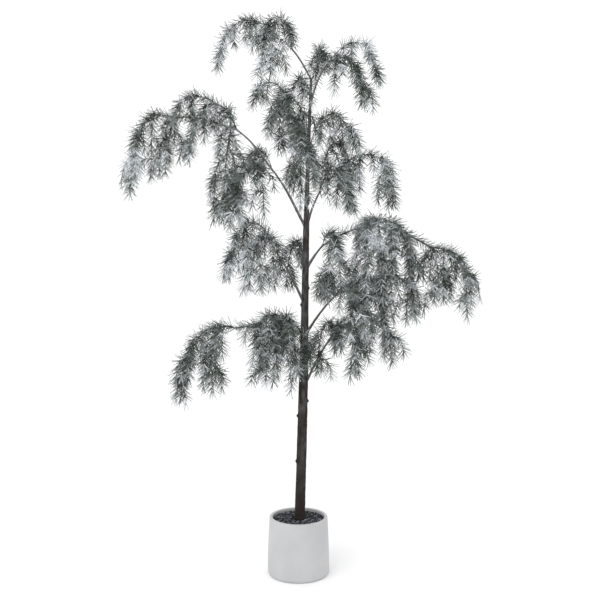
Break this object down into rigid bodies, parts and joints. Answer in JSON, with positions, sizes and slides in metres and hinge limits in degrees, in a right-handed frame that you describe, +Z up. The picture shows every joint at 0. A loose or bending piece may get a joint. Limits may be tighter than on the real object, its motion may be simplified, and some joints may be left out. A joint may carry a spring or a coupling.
{
  "type": "potted artificial pine tree",
  "caption": "Tall artificial weeping pine with frosted drooping needle sprays on a bare dark trunk, standing in a round ceramic pot filled with bark chips.",
  "frame": {"origin": "middle of the pot's flat underside, which is the object's lowest point", "axes": "+Z up along the tree's height, -Y towards the picture's viewer, +X to the picture's right"},
  "size_m": [1.3428, 0.5029, 2.1012],
  "materials": {
    "pot_ceramic": "matt white-grey",
    "bark_chips": "rough dark chips",
    "trunk_bark": "rough dark brown bark",
    "bough_bark": "rough dark brown bark, dusted with frost",
    "frosted_needles": "grey-green needles with white frosting"
  },
  "bodies": {
    "root": {"pot": "pot_ceramic", "bark_chip_fill": "bark_chips", "trunk": "trunk_bark", "bough_top_left": "bough_bark", "bough_top_right": "bough_bark", "bough_upper_left": "bough_bark", "bough_left": "bough_bark", "bough_left_far": "bough_bark", "bough_left_outer": "bough_bark", "bough_right": "bough_bark", "bough_mid_left": "bough_bark", "bough_big_right": "bough_bark", "bough_big_right_far": "bough_bark", "bough_big_right_outer": "bough_bark", "bough_low_right": "bough_bark", "bough_low_left": "bough_bark", "bough_low_left_far": "bough_bark", "bough_foot_right": "bough_bark", "top_left_tip": "frosted_needles", "top_left_heart": "frosted_needles", "top_back": "frosted_needles", "top_right_tip": "frosted_needles", "top_right_middle": "frosted_needles", "collar": "frosted_needles", "upper_left_crest": "frosted_needles", "upper_left_hang": "frosted_needles", "upper_front": "frosted_needles", "upper_back": "frosted_needles", "upper_right": "frosted_needles", "left_under": "frosted_needles", "left_fill": "frosted_needles", "left_back": "frosted_needles", "left_crest": "frosted_needles", "left_outer": "frosted_needles", "left_tip": "frosted_needles", "right_up": "frosted_needles", "right_heart": "frosted_needles", "right_tip": "frosted_needles", "mid_left_top": "frosted_needles", "mid_left_front": "frosted_needles", "mid_back": "frosted_needles", "big_right_near": "frosted_needles", "big_right_heart": "frosted_needles", "big_right_back": "frosted_needles", "big_right_crest": "frosted_needles", "big_right_outer": "frosted_needles", "big_right_tip": "frosted_needles", "low_right_heel": "frosted_needles", "low_right_front": "frosted_needles", "low_right_middle": "frosted_needles", "low_right_tip": "frosted_needles", "foot_right_heel": "frosted_needles", "foot_right_front": "frosted_needles", "foot_right_back": "frosted_needles", "low_left_heel": "frosted_needles", "low_left_front": "frosted_needles", "low_left_middle": "frosted_needles", "low_left_hang": "frosted_needles", "low_left_tip": "frosted_needles", "low_back": "frosted_needles"}
  },
  "joints": []
}
